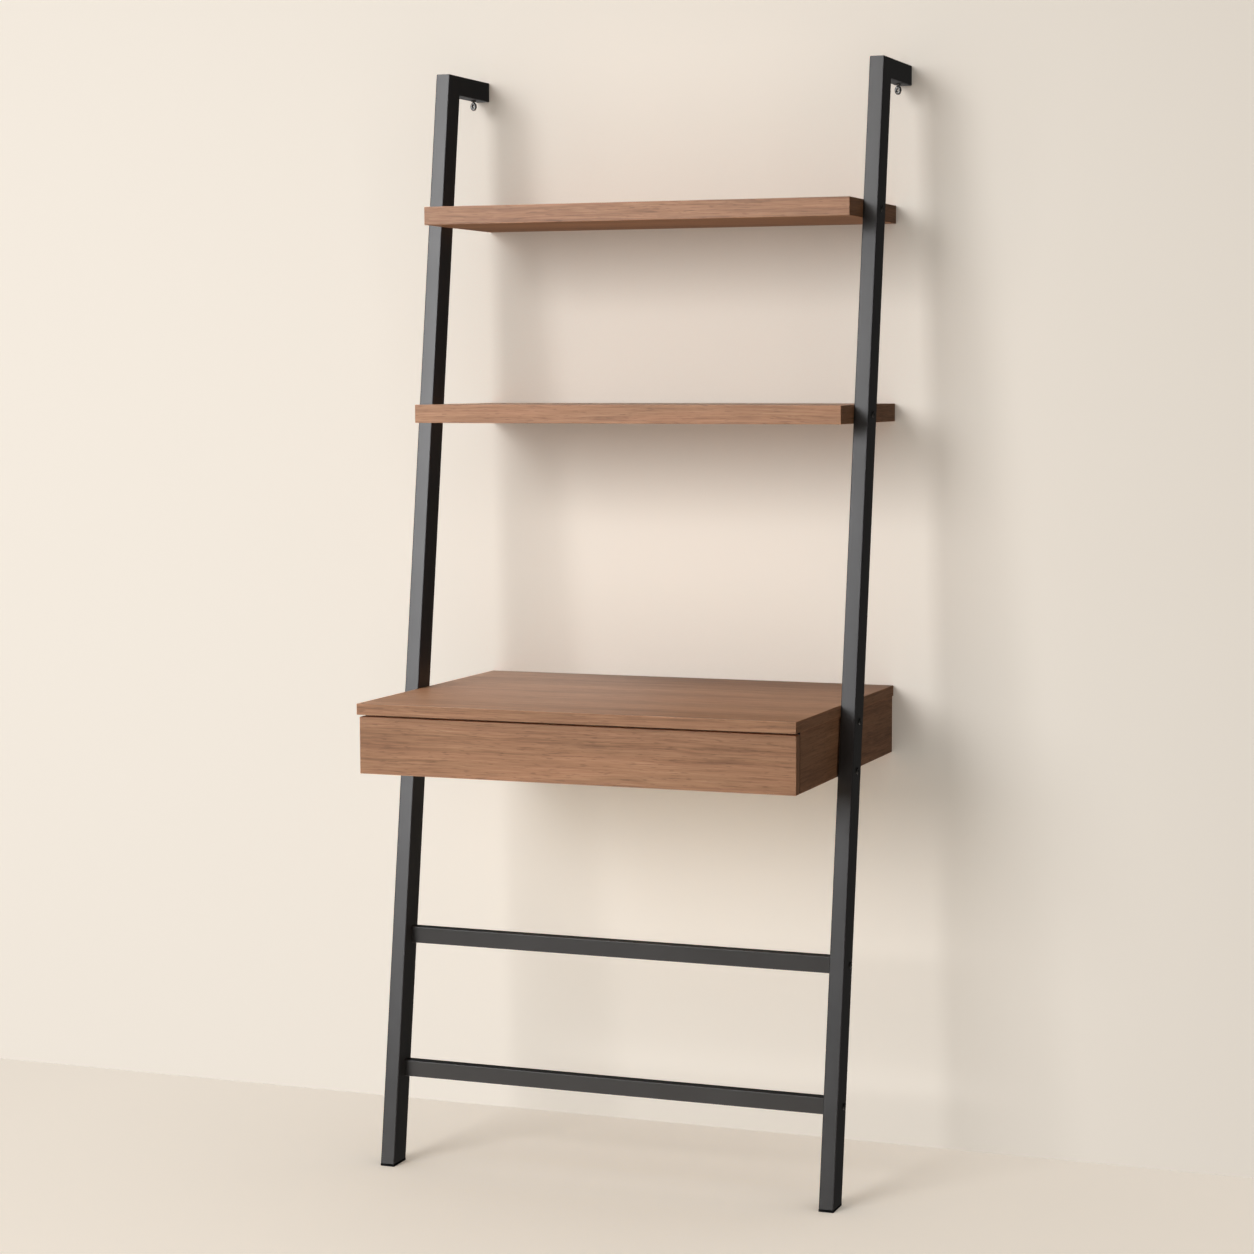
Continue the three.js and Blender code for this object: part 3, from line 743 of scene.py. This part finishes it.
def slot_outline(middle, level, length, height):
    """Points (y, z) round a slot; a round hole if its length equals its height."""
    radius = height / 2
    reach = length / 2 - radius
    right = arc((middle + reach, level), radius, -90, 90, 8)
    left = arc((middle - reach, level), radius, 90, 270, 8)
    points = right + left
    return points if reach > 0 else right[:-1] + left[:-1]


def add_holed_web(mesh, near, far, y_span, z_span, holes):
    """Both faces of a web, from near to far along X, with the walls of its holes."""
    y0, y1 = y_span
    z0, z1 = z_span
    outlines = [[(y0, z0), (y1, z0), (y1, z1), (y0, z1)], *holes]
    loops = []
    for x in (near, far):
        face_loops = [[mesh.verts.new((x, y, z)) for y, z in outline] for outline in outlines]
        edges = [
            mesh.edges.new((loop[i - 1], loop[i])) for loop in face_loops for i in range(len(loop))
        ]
        bmesh.ops.triangle_fill(mesh, use_beauty=True, edges=edges, normal=(1, 0, 0))
        loops.append(face_loops[1:])
    for lower, upper in zip(*loops):
        bridge(mesh, (lower, upper))


def add_channel(mesh, web_at, tip_at, z_span, y_span, holes):
    """A channel of bent sheet along Y: a web at web_at, and two flanges that reach to tip_at."""
    inward = 1 if tip_at > web_at else -1
    half = (z_span[1] - z_span[0]) / 2
    level = (z_span[0] + z_span[1]) / 2
    inner_bend = SLIDE_BEND - SLIDE_GAUGE
    outer_upper = arc((SLIDE_BEND, half - SLIDE_BEND), SLIDE_BEND, 180, 90, 5)
    inner_upper = arc((SLIDE_BEND, half - SLIDE_BEND), inner_bend, 90, 180, 5)
    reach = abs(tip_at - web_at)
    upper = [*outer_upper, (reach, half), (reach, half - SLIDE_GAUGE), *inner_upper]
    for flip in (1, -1):
        strip = [(web_at + inward * across, level + flip * up) for across, up in upper]
        rails = [[mesh.verts.new((x, y, z)) for x, z in strip] for y in y_span]
        for i in range(len(strip) - 1):
            mesh.faces.new((rails[0][i], rails[0][i + 1], rails[1][i + 1], rails[1][i]))
        for rail in rails:
            mesh.faces.new(rail)
    web_half = half - SLIDE_BEND
    web_faces = (web_at, web_at + inward * SLIDE_GAUGE)
    z_web = (level - web_half, level + web_half)
    add_holed_web(mesh, *web_faces, y_span, z_web, holes)
    near, far = web_faces
    bottom, top = z_web
    for y in y_span:
        corners = ((near, y, bottom), (far, y, bottom), (far, y, top), (near, y, top))
        mesh.faces.new([mesh.verts.new(corner) for corner in corners])


def web_openings(member, y_span, level):
    """Slots and round holes along a slide's web, and the places of its screws."""
    start, end = y_span

    def places(shares):
        return [start + share * (end - start) for share in shares[member]]

    holes = [slot_outline(y, level, *SLIDE_SLOT) for y in places(SLOTS_AT)]
    holes += [slot_outline(y, level, SLIDE_HOLE, SLIDE_HOLE) for y in places(HOLES_AT)]
    return holes, places(SCREWS_AT)


def add_slide_member(side_name, side, member):
    """A member of a slide, and the heads of the screws that hold it."""
    node = f"{side_name}_slide_{member}_member"
    low, high = box_of(node)
    outer, inner = (low.x, high.x) if side < 0 else (high.x, low.x)
    web_at, tip_at = (inner, outer) if member == "drawer" else (outer, inner)
    level = (low.z + high.z) / 2
    y_span = (low.y, high.y)
    holes, screws = web_openings(member, y_span, level)
    mesh = bmesh.new()
    add_channel(mesh, web_at, tip_at, (low.z, high.z), y_span, holes)
    stand_in(mesh, node)
    if not screws:
        return
    mesh = bmesh.new()
    inward = 1 if tip_at > web_at else -1
    profile = screw_profile(SCREW_HEAD, SLIDE_SCREW_RISE[member], SCREW_SHANK, SLIDE_SCREW_LENGTH)
    for y in screws:
        lathe(mesh, (web_at + inward * SLIDE_GAUGE, y, level), (inward, 0, 0), profile, SCREW_SIDES)
    name = f"{side_name}_slide_{member}_screws"
    piece_from(mesh, name, body_of[node], plain_materials["zinc_steel"])


finish_cad_nodes()
for side_name, side in (("left", -1), ("right", 1)):
    add_upright(side_name, side)
    add_lock_eye(side_name)
    for member in ("case", "middle", "drawer"):
        add_slide_member(side_name, side, member)
    add_front_screw(f"drawer_front_{side_name}_screw")
stretchers = [add_stretcher(node) for node in ("upper_stretcher", "lower_stretcher")]
for node in frame["nodes"]:
    if node.endswith("_bolt"):
        add_bolt(node)


# ---------- stage, lights and camera ----------

def one_sided(name, colour, glow, fade, corner):
    """A matt surface that the camera sees only from its front. glow is light of its own: it dims
    in corners, as far as the corner distance, and takes over between the fade distances."""
    tinted = tuple(channel * tint for channel, tint in zip(colour, GLOW_TINT))
    recipe = Recipe(name, Roughness=0.95, Specular_IOR_Level=0.1)
    away = recipe.add("ShaderNodeVectorMath", {0: recipe.coordinates()}, operation="LENGTH").outputs[1]
    own = recipe.spread(away, *fade, glow, 1.0)
    nearby = recipe.add("ShaderNodeAmbientOcclusion", {"Distance": corner}, samples=8).outputs["AO"]
    recipe.feed(recipe.shader.inputs["Emission Strength"], recipe.math("MULTIPLY", nearby, own))
    own_colour = recipe.tint(recipe.spread(away, *fade), tinted, colour)
    recipe.feed(recipe.shader.inputs["Emission Color"], own_colour)
    cloud = recipe.noise(recipe.coordinates(), 0.6, 3)
    paint = recipe.tint(cloud, colour, tuple(1.02 * channel for channel in colour))
    recipe.paint(recipe.tint(recipe.spread(away, *fade), paint, FAR_PAINT))
    hidden = recipe.add("ShaderNodeBsdfTransparent").outputs[0]
    behind = recipe.add("ShaderNodeNewGeometry").outputs["Backfacing"]
    mix = recipe.add("ShaderNodeMixShader", {0: behind, 1: recipe.shader.outputs[0], 2: hidden})
    output = recipe.tree.nodes["Material Output"]
    recipe.feed(output.inputs["Surface"], mix.outputs[0])
    return recipe.material


def stage_surface(name, mesh_parts, material):
    """A surface of the stage. It takes light and shadows, and gives none to the desk."""
    data = bpy.data.meshes.new(name)
    data.from_pydata(*mesh_parts)
    data.materials.append(material)
    surface = bpy.data.objects.new(name, data)
    bpy.context.scene.collection.objects.link(surface)
    surface.visible_glossy = False
    surface.visible_diffuse = False
    surface.visible_shadow = False
    return surface


def add_stage():
    """A floor, the wall that the desk leans on, and a pale backdrop all round."""
    reach = STAGE_REACH
    wall_at = cad_box[1].y
    face = [(0, 1, 2, 3)]
    corners = [(-reach, -reach, 0), (reach, -reach, 0), (reach, reach, 0), (-reach, reach, 0)]
    floor_paint = one_sided("floor_paint", FLOOR_PAINT, FLOOR_GLOW, FLOOR_FADE, FLOOR_CORNER)
    floor = stage_surface("floor", (corners, [], face), floor_paint)
    corners = [(x, wall_at, z) for x, z in ((-reach, 0), (reach, 0), (reach, reach), (-reach, reach))]
    wall_paint = one_sided("wall_paint", WALL_PAINT, WALL_GLOW, WALL_FADE, WALL_CORNER)
    wall = stage_surface("wall", (corners, [], face), wall_paint)
    sides = BACKDROP_SIDES
    far = BACKDROP_RADIUS
    ring = [2 * pi * i / sides for i in range(sides)]
    points = [(far * cos(a), far * sin(a), z) for z in (-1, 2 * far) for a in ring]
    panels = [((i + 1) % sides, i, i + sides, (i + 1) % sides + sides) for i in range(sides)]
    panels.append(tuple(range(sides, 2 * sides)))
    backdrop_paint = one_sided("backdrop_paint", FLOOR_PAINT, 1.0, FLOOR_FADE, WALL_CORNER)
    stage_surface("backdrop", (points, [], panels), backdrop_paint)
    return floor, wall


def softbox(name, bearing, elevation, distance, size, level, shadows=True, colour=(1, 1, 1)):
    """A soft light. A white surface that faces it comes out at that level. It is placed by its
    bearing from the desk: degrees left of straight in front, and degrees above the horizon."""
    lamp = bpy.data.lights.new(name, "AREA")
    lamp.shape = "RECTANGLE"
    lamp.size, lamp.size_y = size
    lamp.energy = level * (pi * distance) ** 2
    lamp.use_shadow = shadows
    lamp.color = colour
    turn = Matrix.Rotation(radians(-bearing), 4, "Z") @ Matrix.Rotation(radians(90 - elevation), 4, "X")
    light = bpy.data.objects.new(name, lamp)
    light.matrix_world = Matrix.Translation(LIT_POINT) @ turn @ Matrix.Translation((0, 0, distance))
    light.visible_camera = False
    bpy.context.scene.collection.objects.link(light)
    return light


def link_light(light, surfaces, state):
    """Lets a light reach only these surfaces (INCLUDE), or all but these (EXCLUDE)."""
    linked = bpy.data.collections.new(f"{light.name}_links")
    for surface in surfaces:
        linked.objects.link(surface)
    for entry in linked.collection_objects:
        entry.light_linking.link_state = state
    light.light_linking.receiver_collection = linked
    return light


def narrow(light, beam, aim):
    """Narrows a light's beam as a grid does, and turns it to its aim."""
    light.data.spread = radians(beam)
    at = light.matrix_world.translation
    light.matrix_world = Matrix.Translation(at) @ (at - aim).to_track_quat("Z", "Y").to_matrix().to_4x4()


def add_lights(stage):
    """The key as two lamps, one for the desk and one for the wall and the floor, and weaker lamps
    all round the desk. Boards, feet and stretchers are spared where a lamp would mirror in them.
    The numbers of a lamp are its bearing, elevation, distance, size and level."""
    boards = [frame["nodes"][node] for node in ("desk_top", "middle_shelf", "top_shelf")]
    feet = [frame["nodes"][node] for node in ("left_foot_cap", "right_foot_cap")]
    key = softbox("key", 28, 16, KEY_DISTANCE, KEY_SIZE, 0.073, colour=KEY_COLOUR)
    narrow(link_light(key, stage, "EXCLUDE"), *KEY_ON_DESK)
    stage_key = softbox("key_on_stage", 23, 17, KEY_DISTANCE, KEY_SIZE, 0.126, colour=KEY_COLOUR)
    narrow(link_light(stage_key, stage, "INCLUDE"), *KEY_ON_STAGE)
    top_light = softbox("top_light", 40, 62, 3.4, (2.6, 2.2), 0.98, colour=LAMP_COLOUR)
    back_light = softbox("back_light", 150, 50, 7.0, (4.5, 3.5), 0.42, colour=LAMP_COLOUR)
    for light in (top_light, back_light):
        link_light(light, (*stage, *stretchers), "EXCLUDE")
    back_low = softbox("back_low", 145, -42, 7.0, (4.0, 3.0), 0.42)
    link_light(back_low, (*stage, *boards), "EXCLUDE")
    sheen = softbox("sheen", 154, 7, 3.0, (0.6, 0.5), 0.009, colour=LAMP_COLOUR)
    link_light(sheen, [frame["nodes"]["desk_top"]], "INCLUDE")
    bounces = (
        softbox("bounce_front", 25, -38, 5.0, (4.0, 4.0), 0.32, colour=BOUNCE_COLOUR),
        softbox("bounce_right", -62, -32, 5.0, (4.0, 4.0), 0.20, colour=BOUNCE_COLOUR),
        softbox("bounce_under", 0, -89, 6.0, (3.0, 3.0), 0.62, False, BOUNCE_COLOUR),
    )
    for light in bounces:
        link_light(light, (*stage, *feet), "EXCLUDE")


def add_world():
    """A weak even light from all sides."""
    world = bpy.data.worlds.new("studio")
    world.use_nodes = True
    ambient = world.node_tree.nodes["Background"]
    ambient.inputs["Color"].default_value = (*AMBIENT, 1)
    ambient.inputs["Strength"].default_value = AMBIENT_STRENGTH
    bpy.context.scene.world = world


def add_camera():
    """The camera at the photograph's angle."""
    lens = bpy.data.cameras.new("camera")
    lens.lens = CAMERA_LENS
    camera = bpy.data.objects.new("camera", lens)
    turn = Matrix.Rotation(radians(CAMERA_HEADING), 4, "Z")
    tilt = Matrix.Rotation(radians(90 + CAMERA_TILT), 4, "X")
    roll = Matrix.Rotation(radians(CAMERA_ROLL), 4, "Z")
    camera.matrix_world = Matrix.Translation(CAMERA_AT) @ turn @ tilt @ roll
    bpy.context.scene.collection.objects.link(camera)
    bpy.context.scene.camera = camera


add_lights(add_stage())
add_world()
add_camera()
bpy.context.scene.view_settings.view_transform = "Standard"
